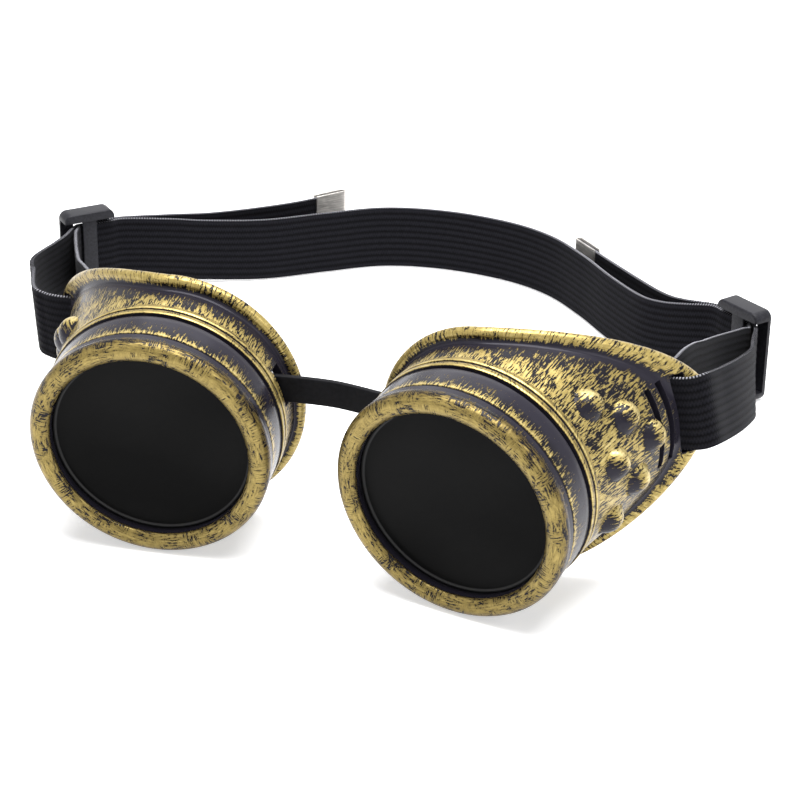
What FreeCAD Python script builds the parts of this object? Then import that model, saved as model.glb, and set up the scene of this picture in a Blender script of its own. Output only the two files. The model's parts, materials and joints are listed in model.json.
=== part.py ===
import FreeCAD, Part
import math
import os

V = FreeCAD.Vector
SIDES = ("left", "right")

# How the two cups stand on the surface, in millimetres and degrees
LENS_SPACING = 77.0
TOE_IN_ANGLE = 8.6
NOSE_DOWN_ANGLE = 7.2
TEMPLE_RAISE_ANGLE = {"left": 0.0, "right": 11.0}

# Screw ring: radius of the sight opening, walls and steps out from it, depths back from the sight edge
SIGHT_R = 25.0
BEZEL_CREST = 2.0
BEZEL_CROWN = 1.4
BEZEL_SIDE = 2.4
BEZEL_STEP = 0.2
RING_WALL = 2.1
RING_DEPTH = 13.1
RING_CHAMFER = 0.5
GROOVE_AT = 4.6
GROOVE_WIDTH = 0.9
GROOVE_DEPTH = 0.7
LIP_DEPTH = 3.0

# Lens and gasket, held between the ring's lip and the cup's neck
LENS_HOLD = 1.4
LENS_THICK = 2.0
GASKET_THICK = 1.2
GASKET_WIDTH = 1.8
POCKET_GAP = 0.2
SEAT_GAP = 0.1

# Cup: neck, ribs and a flared wall that starts flush with the ring's band
NECK_STEP = 1.0
NECK_WALL = 2.5
THREAD_GAP = 0.3
SEAM_GAP = 0.7
RIB_STAND = 0.4
RIB_WIDTH = 1.7
RIB_GROOVE = 0.6
WALL = 2.2
TEMPLE_SLOPE = 0.2
SIDE_SLOPE = 0.05
SHELF = 1.0

# Face flange: how far its lip stands out past the wall, and how its depth sweeps back to the temple
LIP_NOSE = 2.35
LIP_TOP = 3.15
LIP_TEMPLE = 2.8
FLANGE_POWER = 1.77
NOSE_DEPTH = 26.8
TEMPLE_DEPTH = 60.8
SWEEP_POWER = 1.61
LIP_FRONT_NOSE = 1.8
LIP_FRONT_TEMPLE = 4.2
LIP_BACK = 1.2
LIP_ROUND = 1.1

# Studs in three rows on the temple side: how far behind the ribs, and angles round the lens axis
STUD_ROW_DEPTHS = (7.8, 15.3, 21.9)
STUD_ROW_ANGLES = ((-30.0, 0.0, 30.0), (-15.0, 15.0), (0.0,))
STUD_R = 4.0
STUD_HEIGHT = 2.8

# Elastic strap and the slots it can be threaded through
STRAP_WIDTH = 20.0
STRAP_THICK = 1.2
LAYER_GAP = 0.3
SLOT_COUNT = 3
SLOT_PITCH = 4.2
SLOT_FROM_TEMPLE = 9.8
SLOT_WIDTH = 2.4
SLOT_END_GAP = 0.6

# Nose bridge strip and its slot
BRIDGE_HEIGHT = 7.4
BRIDGE_THICK = 1.4
BRIDGE_RISE = 7.6
BRIDGE_BOW = 1.0
BRIDGE_SLOT_GAP = 1.2
BRIDGE_SLOT_RISE = 10.3
BRIDGE_SLOT_HEIGHT = 14.0
HEAD_HEIGHT = 9.0
HEAD_THICK = 2.0
HEAD_DEPTH = 5.0
HEAD_INSET = 5.3

# Strap buckle
SLIDER_LENGTH = 16.0
SLIDER_BAR = 4.2
SLIDER_MIDDLE = 4.6
SLIDER_RAIL = 2.7
SLIDER_BAR_THICK = 1.4
SLIDER_GAP = 0.3
SLIDER_HEADROOM = 1.4
SLIDER_TRAVEL = 5.0
SLIDER_CORNER = 2.4
SLIDER_ROUND = 0.6
TURN_CLEARANCE = 0.6
TURN_LEAD = 0.7

# Where each buckle's middle plate stands, and how far the strap through it turns out from straight ahead
SLIDER_AT = {"left": (-127.6, 139.4, 0.0), "right": (73.5, 147.5, 0.0)}
SLIDER_ANGLE = {"left": 41.0, "right": 57.0}

# Metal strap-end clip
CRIMP_LENGTH = 11.0
CRIMP_THICK = 0.5
CRIMP_GAP = 0.06
CRIMP_TRIM = 0.6

# Route of the strap behind the head, left buckle to right: x, y and how far its lower edge is lifted
BACK_ROUTE = (
    (-106.4, 155.6, 2.0), (-98.5, 161.0, 0.8), (-82.5, 170.2, 0.1), (-67.4, 182.6, 0.1),
    (-51.8, 194.2, 0.1), (-33.1, 199.0, 0.1), (-12.8, 198.0, 0.1), (3.0, 192.2, 0.1),
    (16.7, 181.2, 0.1), (29.0, 168.8, 0.1), (40.5, 158.8, 0.2), (47.6, 155.7, 0.6), (54.5, 154.5, 1.6))

# Routes of the free ends, from the buckle to the clip, and how far each clip turns in from straight back
TAIL_ROUTE = {
    "left": ((-107.4, 158.8, 2.2), (-99.6, 166.0, 1.2), (-90.4, 174.6, 0.8), (-80.8, 183.8, 0.8)),
    "right": ((54.5, 157.0, 1.9), (49.0, 159.6, 1.2), (43.0, 164.0, 0.9), (35.0, 170.8, 0.8),
              (27.3, 177.4, 0.8))}
TAIL_END = {"left": (-74.4, 191.4, 0.8), "right": (20.3, 183.6, 0.8)}
TAIL_ANGLE = {"left": 36.0, "right": 49.0}

# Routes of the loops, inner layer from the buckle and outer layer from the cup: share of the way from the
# rear slot to the buckle, how far aside they pass, away from the head, and share of the rise to the slot
INNER_ROUTE = {
    "left": ((0.94, 3.0, 0.02), (0.88, 2.8, 0.06), (0.78, 2.2, 0.16), (0.66, 1.4, 0.31),
             (0.54, 0.5, 0.48), (0.40, -0.7, 0.67), (0.27, -2.7, 0.86), (0.15, -5.0, 1.0)),
    "right": ((0.94, 2.7, 0.02), (0.88, 2.0, 0.10), (0.79, 0.7, 0.20), (0.68, -0.6, 0.33),
              (0.56, -1.3, 0.48), (0.43, -1.4, 0.65), (0.30, -1.4, 0.83), (0.17, -1.4, 0.98))}
OUTER_ROUTE = {
    "left": ((0.25, 10.6, 0.86), (0.36, 11.9, 0.69), (0.48, 12.7, 0.52), (0.60, 12.6, 0.35),
             (0.72, 11.2, 0.19), (0.82, 8.6, 0.09), (0.90, 5.9, 0.04), (0.96, 4.2, 0.02)),
    "right": ((0.10, 8.6, 0.97), (0.19, 10.1, 0.89), (0.29, 10.9, 0.79), (0.40, 10.9, 0.66),
              (0.50, 10.2, 0.53), (0.62, 8.7, 0.37), (0.74, 7.0, 0.21), (0.85, 5.6, 0.09), (0.93, 4.7, 0.03))}

# The loop's passage, inside to outside, as (outward, back) from the middle of the rear slot
SLOT_PASS_IN = ((-4.2, 9.6), (-4.5, 5.6), (-4.6, 2.4), (-3.8, 0.3), (-2.0, -0.3), (0.0, -0.2))
SLOT_PASS_OUT = {
    "left": ((3.0, -0.1), (6.8, 0.8), (10.8, 3.8)),
    "right": ((2.2, 0.0), (4.6, 1.0), (6.6, 3.4))}

# Number of flat stretches that a strap's curve is cut into between two points of its route
STRAP_STEPS = 4

# Sizes that follow from the ones above
lens_r = SIGHT_R + LENS_HOLD
neck_r = lens_r + NECK_STEP
bore_r = neck_r + THREAD_GAP
band_r = bore_r + RING_WALL
bezel_r = band_r + BEZEL_STEP
wall_r = band_r
rib_r = wall_r + RIB_STAND
lens_front = LIP_DEPTH + SEAT_GAP
lens_back = lens_front + LENS_THICK
gasket_back = lens_back + GASKET_THICK
neck_front = gasket_back + SEAT_GAP
neck_bore_r = neck_r - NECK_WALL
collar_front = RING_DEPTH + SEAM_GAP
wall_front = collar_front + 2 * RIB_WIDTH + RIB_GROOVE
wall_back = TEMPLE_DEPTH + 2 * LIP_BACK
flange_nose_r = wall_r + SIDE_SLOPE * (NOSE_DEPTH - wall_front) + LIP_NOSE
flange_half_height = wall_r + SIDE_SLOPE * (NOSE_DEPTH - wall_front) + LIP_TOP
flange_temple_r = wall_r + TEMPLE_SLOPE * (TEMPLE_DEPTH - wall_front) + LIP_TEMPLE
far = 2 * flange_temple_r
rear_slot_depth = TEMPLE_DEPTH - SLOT_FROM_TEMPLE
rear_slot_r = wall_r + TEMPLE_SLOPE * (rear_slot_depth - wall_front)
slot_depths = [rear_slot_depth - i * SLOT_PITCH for i in range(SLOT_COUNT)]
bridge_depth = wall_front + SHELF + BRIDGE_THICK / 2 + BRIDGE_SLOT_GAP
head_r = neck_bore_r - HEAD_INSET
strap_z = SLIDER_RAIL + SLIDER_GAP + STRAP_WIDTH / 2
layer_offset = (STRAP_THICK + LAYER_GAP) / 2
stack_half = layer_offset + STRAP_THICK / 2


def save(shape, node):
    shape.exportStep("parts/" + node + ".step")


def turned(points):
    """Solid turned about the lens axis from (radius, depth) points; a triple (via, to) makes an arc."""
    edges = []
    here = V(points[0][0], points[0][1], 0)
    for step in points[1:] + points[:1]:
        if isinstance(step[0], tuple):
            via, to = V(*step[0]), V(*step[1])
            edges.append(Part.Arc(here, via, to).toShape())
        else:
            to = V(*step)
            edges.append(Part.LineSegment(here, to).toShape())
        here = to
    face = Part.Face(Part.Wire(edges))
    return face.revolve(V(0, 0, 0), V(0, 1, 0), 360)


def washer(inner_r, outer_r, front, back):
    return turned([(inner_r, front), (outer_r, front), (outer_r, back), (inner_r, back)])


def lens_ring():
    """Screw ring: crowned bezel, V groove, plain band, and the bore that turns on the cup's neck."""
    pocket_r = lens_r + POCKET_GAP
    step_depth = gasket_back - SEAT_GAP
    half = GROOVE_WIDTH / 2
    return turned([
        (SIGHT_R, 0.0),
        ((SIGHT_R + BEZEL_CREST, -BEZEL_CROWN), (bezel_r, BEZEL_SIDE)),
        (bezel_r, GROOVE_AT - half),
        (band_r - GROOVE_DEPTH, GROOVE_AT),
        (band_r, GROOVE_AT + half),
        (band_r, RING_DEPTH - RING_CHAMFER),
        (band_r - RING_CHAMFER, RING_DEPTH),
        (bore_r, RING_DEPTH),
        (bore_r, step_depth),
        (pocket_r, step_depth),
        (pocket_r, LIP_DEPTH),
        (SIGHT_R, LIP_DEPTH)])


def lens():
    return Part.makeCylinder(lens_r, LENS_THICK, V(0, lens_front, 0), V(0, 1, 0))


def lens_gasket():
    return washer(lens_r - GASKET_WIDTH, lens_r, lens_back, gasket_back)


def neck_and_ribs():
    """Threaded neck, the collar that the ring closes on, and two ribs round the cup."""
    rib_1 = collar_front + RIB_WIDTH
    rib_2 = rib_1 + RIB_GROOVE
    shelf = wall_front + SHELF
    return turned([
        (neck_bore_r, neck_front),
        (neck_r, neck_front),
        (neck_r, collar_front),
        (rib_r, collar_front),
        (rib_r, rib_1),
        (rib_r - RIB_GROOVE, (rib_1 + rib_2) / 2),
        (rib_r, rib_2),
        (rib_r, wall_front),
        (wall_r, wall_front),
        (wall_r, shelf),
        (neck_bore_r, shelf)])


def wall_radius(depth, slope):
    return wall_r + slope * (depth - wall_front)


def half_ellipse(first, second, outward):
    """Half of the ellipse about the lens axis with two axis ends, from second round past outward."""
    centre = V(0, second.y, 0)
    longer, shorter = sorted((first, second), key=lambda end: -(end - centre).Length)
    ellipse = Part.Ellipse(longer, shorter, centre)
    ends = sorted((ellipse.parameter(second), ellipse.parameter(2 * centre - second)))
    half = Part.ArcOfEllipse(ellipse, ends[0], ends[1]).toShape()
    if half.CenterOfMass.x * outward < 0:
        half = Part.ArcOfEllipse(ellipse, ends[1], ends[0] + 2 * math.pi).toShape()
    return half


def oval(depth, inset):
    """Cross-section of the flared wall: round on the nose side, drawn out towards the temple."""
    side_r = wall_radius(depth, SIDE_SLOPE) - inset
    temple_r = wall_radius(depth, TEMPLE_SLOPE) - inset
    top, bottom = V(0, depth, side_r), V(0, depth, -side_r)
    nose_half = Part.Arc(top, V(-side_r, depth, 0), bottom).toShape()
    return Part.Wire([nose_half, half_ellipse(V(temple_r, depth, 0), top, 1)])


def wall_block(front, inset):
    return Part.makeLoft([oval(front, inset), oval(wall_back, inset)], True, True)


def sweep(outward, at_nose, at_temple):
    """Depth of a face of the flange: level on the nose side, then curving back to the temple."""
    return at_nose + (at_temple - at_nose) * (max(outward, 0.0) / flange_temple_r) ** SWEEP_POWER


def sweep_edges(at_nose, at_temple):
    """Edges of a flange face seen from above, from far on the nose side to past the temple."""
    reach = flange_temple_r + 2 * LIP_FRONT_TEMPLE
    count = 9
    points = [V(i * reach / count, sweep(i * reach / count, at_nose, at_temple), 0) for i in range(count + 1)]
    level = Part.LineSegment(V(-far, at_nose, 0), points[0]).toShape()
    curve = Part.BSplineCurve()
    curve.interpolate(points, InitialTangent=V(1, 0, 0), FinalTangent=points[-1] - points[-2])
    return [level, curve.toShape()]


def slab(front_edges, back_edges):
    """Solid between two such lines, standing through the whole height of the cup."""
    first = front_edges[0].Vertexes[0].Point, back_edges[0].Vertexes[0].Point
    last = front_edges[-1].Vertexes[-1].Point, back_edges[-1].Vertexes[-1].Point
    ends = [Part.LineSegment(*first).toShape(), Part.LineSegment(*last).toShape()]
    wire = Part.Wire(Part.__sortEdges__(front_edges + back_edges + ends))
    face = Part.Face(wire)
    face.translate(V(0, 0, -far))
    return face.extrude(V(0, 0, 2 * far))


def flange_outline():
    """Outline of the face flange: half an ellipse at the nose, a softer point at the temple."""
    def at(angle):
        power = 2 / FLANGE_POWER
        across = flange_temple_r * math.cos(angle) ** power
        up = flange_half_height * abs(math.sin(angle)) ** power
        return V(across, 0, math.copysign(up, angle))
    angles = [math.radians(a) for a in (-66, -44, -22, 0, 22, 44, 66)]
    top, bottom = V(0, 0, flange_half_height), V(0, 0, -flange_half_height)
    temple_half = Part.BSplineCurve()
    temple_half.interpolate([bottom] + [at(a) for a in angles] + [top],
                            InitialTangent=V(1, 0, 0), FinalTangent=V(-1, 0, 0))
    return Part.Wire([temple_half.toShape(), half_ellipse(V(-flange_nose_r, 0, 0), top, -1)])


def flange():
    """Rounded lip round the face opening, bent back to follow the head."""
    column = Part.Face(flange_outline()).extrude(V(0, far, 0))
    front = sweep_edges(NOSE_DEPTH - LIP_FRONT_NOSE, TEMPLE_DEPTH - LIP_FRONT_TEMPLE)
    back = sweep_edges(NOSE_DEPTH + LIP_BACK, TEMPLE_DEPTH + LIP_BACK)
    plate = column.common(slab(front, back))
    rims = [edge for edge in plate.Edges if not isinstance(edge.Curve, Part.Line)]
    return plate.makeFillet(LIP_ROUND, rims)


def behind_flange():
    back = sweep_edges(NOSE_DEPTH + LIP_BACK, TEMPLE_DEPTH + LIP_BACK)
    return slab(back, [Part.LineSegment(V(-far, 2 * far, 0), V(far, 2 * far, 0)).toShape()])


def stud(depth, angle):
    """Domed stud standing on the wall, as a ball sunk into it."""
    ball_r = (STUD_R ** 2 + STUD_HEIGHT ** 2) / (2 * STUD_HEIGHT)
    turn = math.radians(angle)
    temple_r = wall_radius(depth, TEMPLE_SLOPE)
    side_r = wall_radius(depth, SIDE_SLOPE)
    surface_r = 1 / math.hypot(math.cos(turn) / temple_r, math.sin(turn) / side_r)
    centre_r = surface_r + STUD_HEIGHT - ball_r
    return Part.makeSphere(ball_r, V(centre_r * math.cos(turn), depth, centre_r * math.sin(turn)))


def box(low, high):
    size = high - low
    return Part.makeBox(size.x, size.y, size.z, low)


def strap_slot(depth):
    half = STRAP_WIDTH / 2 + SLOT_END_GAP
    return box(V(wall_r - WALL - SHELF, depth - SLOT_WIDTH / 2, -half),
               V(flange_temple_r, depth + SLOT_WIDTH / 2, half))


def bridge_slot():
    half_width = BRIDGE_THICK / 2 + BRIDGE_SLOT_GAP
    half_height = BRIDGE_SLOT_HEIGHT / 2
    return box(V(-far, bridge_depth - half_width, BRIDGE_SLOT_RISE - half_height),
               V(-head_r, bridge_depth + half_width, BRIDGE_SLOT_RISE + half_height))


def eye_cup():
    """One moulded cup, built for the right eye with its temple towards +X."""
    shell = wall_block(wall_front, 0.0).cut(behind_flange())
    for depth, angles in zip(STUD_ROW_DEPTHS, STUD_ROW_ANGLES):
        shell = shell.fuse([stud(wall_front + depth, angle) for angle in angles])
    shell = shell.fuse(flange())
    shell = shell.cut(wall_block(wall_front, WALL))
    cup = shell.fuse(neck_and_ribs())
    cup = cup.cut([strap_slot(depth) for depth in slot_depths] + [bridge_slot()])
    return cup.removeSplitter()


def turn(axis, degrees):
    return FreeCAD.Rotation(axis, degrees)


def cup_rotation(side, raised=True):
    """Rotation of a cup from its own axes to how it lies: raised at the temple, toed in, nose down."""
    sign = sign_of(side)
    lift = TEMPLE_RAISE_ANGLE[side] if raised else 0.0
    rotation = turn(V(1, 0, 0), NOSE_DOWN_ANGLE) * turn(V(0, 0, 1), -sign * TOE_IN_ANGLE)
    return rotation * turn(V(0, 1, 0), -sign * lift)


def seat(shape, side, height):
    """Copy of a cup's piece, mirrored for the left eye and set where it lies."""
    sign = sign_of(side)
    piece = shape.copy() if side == "right" else shape.mirror(V(0, 0, 0), V(1, 0, 0))
    place = FreeCAD.Placement(V(sign * LENS_SPACING / 2, 0, height), cup_rotation(side))
    return piece.transformShape(place.toMatrix(), True)


def cup_point(side, height, outward, depth, up=0.0, raised=True):
    """Point of the finished part from a place in a cup: outward to the temple, depth back, up."""
    sign = sign_of(side)
    local = V(sign * outward, depth, up)
    return V(sign * LENS_SPACING / 2, 0, height) + cup_rotation(side, raised).multVec(local)


def rest_height(shapes):
    """Height of the lens centres at which the lowest of these pieces meets the surface."""
    return -min(shape.optimalBoundingBox(False).ZMin for shape in shapes)


def smooth(points, steps):
    """Points of a smooth curve through the given ones, with a number of steps between each two."""
    ends = [2 * points[0] - points[1]] + list(points) + [2 * points[-1] - points[-2]]
    curve = []
    for a, b, c, d in zip(ends, ends[1:], ends[2:], ends[3:]):
        for i in range(steps):
            t = i / steps
            curve.append(0.5 * (2 * b + (c - a) * t + (2 * a - 5 * b + 4 * c - d) * t ** 2
                                + (3 * b - a - 3 * c + d) * t ** 3))
    return curve + [points[-1]]


def ribbon(points, ups, steps, width, thick):
    """Flat strip along a smooth curve; ups says which way its width stands at each point."""
    places = smooth(points, steps)
    stands = smooth(ups, steps)
    count = len(places)
    sections = []
    for i, (place, stand) in enumerate(zip(places, stands)):
        ahead = places[min(i + 1, count - 1)] - places[max(i - 1, 0)]
        across = ahead.cross(stand)
        across.normalize()
        stand = stand.normalize()
        a, b = across * (thick / 2), stand * (width / 2)
        corners = [place - a - b, place + a - b, place + a + b, place - a + b]
        sections.append(Part.makePolygon(corners + corners[:1]))
    return Part.makeLoft(sections, True, True)


def on_route(places):
    """Middle points of an upright strap from its route: x, y and the lift of its lower edge."""
    return [V(x, y, lift + STRAP_WIDTH / 2) for x, y, lift in places]


def sign_of(side):
    return 1 if side == "right" else -1


def buckle_forward(side):
    """Direction in which the strap runs forward through a buckle."""
    angle = math.radians(SLIDER_ANGLE[side])
    return V(sign_of(side) * math.sin(angle), -math.cos(angle), 0)


def tail_direction(side):
    """Direction in which a free end runs into its clip."""
    angle = math.radians(TAIL_ANGLE[side])
    return V(-sign_of(side) * math.sin(angle), math.cos(angle), 0)


def facing(direction):
    """Rotation about the upright that turns +X to a direction."""
    return turn(V(0, 0, 1), math.degrees(math.atan2(direction.y, direction.x)))


def slider_axes(side):
    """Direction of the strap forward through a buckle, and the direction away from the head."""
    forward = buckle_forward(side)
    return forward, V(0, 0, 1).cross(forward) * sign_of(side)


def layer_stretch(side, layer):
    """Ends of the straight stretch of one layer at a buckle: front where it turns, back behind the travel."""
    forward, outward = slider_axes(side)
    middle = V(*SLIDER_AT[side]) + V(0, 0, strap_z) + outward * (layer * layer_offset)
    front = middle + forward * (SLIDER_MIDDLE / 2 + TURN_CLEARANCE)
    back = middle - forward * (SLIDER_LENGTH / 2 + SLIDER_TRAVEL + SLIDER_GAP)
    return front, back


def upright_ribbon(points):
    return ribbon(points, [V(0, 0, 1)] * len(points), STRAP_STEPS, STRAP_WIDTH, STRAP_THICK)


def straight(start, end):
    """A straight stretch of strap: its two ends and the quarter points, so that the curve keeps straight."""
    return [start + (end - start) * share for share in (0.0, 0.25, 0.75, 1.0)]


def strap_back():
    left_front, left_back = layer_stretch("left", -1)
    right_front, right_back = layer_stretch("right", -1)
    route = on_route(BACK_ROUTE)
    return upright_ribbon(straight(left_front, left_back) + route + straight(right_back, right_front))


def strap_tail(side):
    front, back = layer_stretch(side, 1)
    end = on_route([TAIL_END[side]])[0]
    clip_stretch = tail_direction(side) * (CRIMP_LENGTH - CRIMP_THICK)
    route = on_route(TAIL_ROUTE[side])
    return upright_ribbon(straight(front, back) + route + straight(end, end + clip_stretch))


def on_loop(side, height, places):
    """Middle points of a loop from its route between the cup's rear slot and the buckle."""
    slot = cup_point(side, height, rear_slot_r, rear_slot_depth)
    way = V(*SLIDER_AT[side]) + V(0, 0, strap_z) - slot
    away = V(way.y, -way.x, 0).normalize() * sign_of(side)
    return [V(slot.x + share * way.x, slot.y + share * way.y, strap_z - rise * way.z) + away * aside
            for share, aside, rise in places]


def strap_loop(side, height):
    """The elastic from the buckle, in through the cup's rear slot and back round its flange."""
    lead = buckle_forward(side) * TURN_LEAD
    inner = [layer_stretch(side, -1)[0] + lead] + on_loop(side, height, INNER_ROUTE[side])
    passage = [cup_point(side, height, rear_slot_r + outward, rear_slot_depth + back)
               for outward, back in SLOT_PASS_IN + SLOT_PASS_OUT[side]]
    outer = on_loop(side, height, OUTER_ROUTE[side]) + [layer_stretch(side, 1)[0] + lead]
    cup_up = cup_rotation(side).multVec(V(0, 0, 1))
    upright = V(0, 0, 1)

    def lean(count):
        return [upright + (cup_up - upright) * (i / count) for i in range(count)]

    ups = lean(len(inner)) + [cup_up] * len(passage) + lean(len(outer))[::-1]
    return ribbon(inner + passage + outer, ups, STRAP_STEPS, STRAP_WIDTH, STRAP_THICK)


def slider(side):
    """Three-bar buckle: a rounded frame with end bars outside the strap and a wide middle plate inside it."""
    reach = stack_half + SLIDER_GAP
    deep = reach + SLIDER_BAR_THICK
    half = SLIDER_LENGTH / 2
    height = 2 * (SLIDER_RAIL + SLIDER_GAP) + STRAP_WIDTH + SLIDER_HEADROOM
    low, high = SLIDER_RAIL, height - SLIDER_RAIL
    frame = box(V(-half, -deep, 0), V(half, deep, height))
    corners = [edge for edge in frame.Edges if abs(edge.Vertexes[0].Y - edge.Vertexes[1].Y) > deep]
    frame = frame.makeFillet(SLIDER_CORNER, corners)
    rims = [edge for edge in frame.Edges if abs(edge.CenterOfMass.y) > reach]
    frame = frame.makeFillet(SLIDER_ROUND, rims)
    strap_way = box(V(-far, -far, low), V(far, reach, high))
    window = box(V(SLIDER_BAR - half, 0, low), V(half - SLIDER_BAR, far, high))
    middle = box(V(-SLIDER_MIDDLE / 2, SLIDER_ROUND - deep, low / 2),
                 V(SLIDER_MIDDLE / 2, -reach, height - low / 2))
    buckle = frame.cut([strap_way, window]).fuse(middle).removeSplitter()
    if side == "left":
        buckle = buckle.mirror(V(0, 0, 0), V(0, 1, 0))
    place = FreeCAD.Placement(V(*SLIDER_AT[side]), facing(buckle_forward(side)))
    return buckle.transformShape(place.toMatrix(), True)


def crimp(side):
    """Folded metal clip over a strap's end: two plates and the fold that closes them."""
    hollow_half = STRAP_THICK / 2 + CRIMP_GAP
    half = hollow_half + CRIMP_THICK
    half_height = STRAP_WIDTH / 2 + CRIMP_TRIM
    block = box(V(0, -half, -half_height), V(CRIMP_LENGTH, half, half_height))
    fold = [e for e in block.Edges
            if abs(e.CenterOfMass.x - CRIMP_LENGTH) < CRIMP_THICK / 2 and abs(e.CenterOfMass.y) > hollow_half]
    block = block.makeFillet(CRIMP_THICK, fold)
    hollow = box(V(-CRIMP_THICK, -hollow_half, -far),
                 V(CRIMP_LENGTH - CRIMP_THICK + CRIMP_GAP, hollow_half, far))
    place = FreeCAD.Placement(on_route([TAIL_END[side]])[0], facing(tail_direction(side)))
    return block.cut(hollow).transformShape(place.toMatrix(), True)


def nose_bridge(height):
    """Flexible strip through both cups' bridge slots, with a head inside each cup."""
    slot_r = math.sqrt(wall_r ** 2 - BRIDGE_RISE ** 2)
    reaches = (head_r, slot_r - WALL - SHELF, slot_r, slot_r + WALL)

    def end_points(side):
        return [cup_point(side, height, -r, bridge_depth, BRIDGE_RISE, raised=False) for r in reaches]

    left, right = end_points("left"), end_points("right")
    up = turn(V(1, 0, 0), NOSE_DOWN_ANGLE).multVec(V(0, 0, 1))
    back = turn(V(1, 0, 0), NOSE_DOWN_ANGLE).multVec(V(0, 1, 0))
    middle = (left[-1] + right[-1]) * 0.5 + back * BRIDGE_BOW
    points = left + [middle] + right[::-1]
    strip = ribbon(points, [up] * len(points), STRAP_STEPS, BRIDGE_HEIGHT, BRIDGE_THICK)
    for side in SIDES:
        head = box(V(-HEAD_THICK / 2, -HEAD_DEPTH / 2, -HEAD_HEIGHT / 2),
                   V(HEAD_THICK / 2, HEAD_DEPTH / 2, HEAD_HEIGHT / 2))
        place = FreeCAD.Placement(cup_point(side, height, -head_r, bridge_depth, BRIDGE_RISE, raised=False),
                                  cup_rotation(side, raised=False))
        strip = strip.fuse(head.transformShape(place.toMatrix(), True))
    return strip.removeSplitter()


def main():
    os.makedirs("parts", exist_ok=True)
    cup_pieces = {"eye_cup": eye_cup(), "lens_ring": lens_ring(),
                  "lens": lens(), "lens_gasket": lens_gasket()}
    standing = [seat(cup_pieces[name], side, 0.0) for name in ("eye_cup", "lens_ring") for side in SIDES]
    height = rest_height(standing)
    print("lens centres stand", round(height, 3), "mm above the surface")
    for side in SIDES:
        for name, shape in cup_pieces.items():
            save(seat(shape, side, height), name + "_" + side)
        save(strap_loop(side, height), "strap_loop_" + side)
        save(strap_tail(side), "strap_tail_" + side)
        save(slider(side), "slider_" + side)
        save(crimp(side), "crimp_" + side)
    save(strap_back(), "strap_back")
    save(nose_bridge(height), "nose_bridge")


main()
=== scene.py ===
import json
import math

import bmesh
import bpy
import numpy as np
from mathutils import Matrix, Vector


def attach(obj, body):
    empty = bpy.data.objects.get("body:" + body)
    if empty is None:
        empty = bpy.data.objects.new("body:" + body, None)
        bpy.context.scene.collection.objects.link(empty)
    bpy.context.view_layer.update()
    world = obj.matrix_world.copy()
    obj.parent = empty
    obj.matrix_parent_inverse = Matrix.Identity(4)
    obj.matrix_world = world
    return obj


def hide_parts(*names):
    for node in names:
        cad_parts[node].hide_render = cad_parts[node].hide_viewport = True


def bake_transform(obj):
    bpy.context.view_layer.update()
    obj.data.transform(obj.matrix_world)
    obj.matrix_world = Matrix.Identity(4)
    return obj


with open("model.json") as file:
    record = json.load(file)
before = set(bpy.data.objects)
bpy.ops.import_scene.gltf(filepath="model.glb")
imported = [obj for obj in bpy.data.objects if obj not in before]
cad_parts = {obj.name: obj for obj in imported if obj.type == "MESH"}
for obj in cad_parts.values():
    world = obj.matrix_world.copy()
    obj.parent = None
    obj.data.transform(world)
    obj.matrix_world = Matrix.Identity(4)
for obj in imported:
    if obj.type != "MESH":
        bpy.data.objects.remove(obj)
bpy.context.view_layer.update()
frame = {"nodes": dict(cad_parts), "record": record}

SIDES = ("left", "right")
MM = 0.001

# How the cups lie, in degrees, as in the part's source
TOE_IN = 8.6
NOSE_DOWN = 7.2
TEMPLE_RAISE = {"left": 0.0, "right": 11.0}

# Screw ring and lens, in millimetres: radii from the lens axis, depths back from the sight edge
SIGHT_R = 25.0
BEZEL_R = 30.0
BEZEL_CREST_R = 27.0
BEZEL_CROWN = 1.4
BEZEL_SIDE = 2.4
BAND_R = 29.8
RING_DEPTH = 13.1
GROOVE_AT = 4.6
GROOVE_WIDTH = 0.9
GROOVE_DEPTH = 0.7
GROOVE_FLOOR = 0.08
RING_CHAMFER = 0.1
LIP_DEPTH = 3.0
LENS_R = 26.4
LENS_FRONT = 3.1
LENS_BACK = 5.1
LENS_STEP = 0.5
LENS_STEP_R = 24.0
LENS_DISH = 0.15
LENS_CENTRE_R = 0.01
POCKET_R = 26.6
POCKET_BACK = 6.2
THREAD_R = 27.7

# Cup: neck, ribs, flared wall and face flange
NECK_FRONT = 6.4
NECK_BORE_R = 24.9
NECK_R = 27.4
COLLAR_FRONT = 13.8
RIB_R = 30.2
RIB_WIDTH = 1.7
RIB_GROOVE = 0.6
WALL_FRONT = 17.8
WALL_R = 29.8
WALL = 2.2
TEMPLE_SLOPE = 0.2
SIDE_SLOPE = 0.05
SHELF_DEPTH = 18.8
FLANGE_NOSE_R = 32.6
FLANGE_TEMPLE_R = 41.2
FLANGE_HALF_HEIGHT = 33.4
FLANGE_POWER = 1.77
SWEEP_POWER = 1.61
LIP_FRONT = (25.0, 56.6)
LIP_BACK = (28.0, 62.0)
LIP_ROUND = 1.4
ROOT_FILLET = 1.2
FILLET_SHARE = 0.4
NECK_CHAMFER = 0.2
COLLAR_CHAMFER = 0.1
BACK_CHAMFER = 0.3

# Studs: depth of each row and angles round the lens axis
STUD_ROWS = ((25.6, (-30.0, 0.0, 30.0)), (33.1, (-15.0, 15.0)), (39.7, (0.0,)))
STUD_R = 4.0
STUD_HEIGHT = 2.7
STUD_POWER = 0.8

# Slots in the cup: depth and width of each
SLOTS = ((42.6, 1.8), (46.8, 1.8), (51.0, 2.4))
SLOT_HALF_LENGTH = 10.6
REAR_SLOT = (36.44, 51.0)
BRIDGE_DEPTH = 20.7
BRIDGE_SLOT_HALF_WIDTH = 1.9
BRIDGE_SLOT_UP = {"left": (3.3, 13.4), "right": (3.3, 17.3)}

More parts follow.
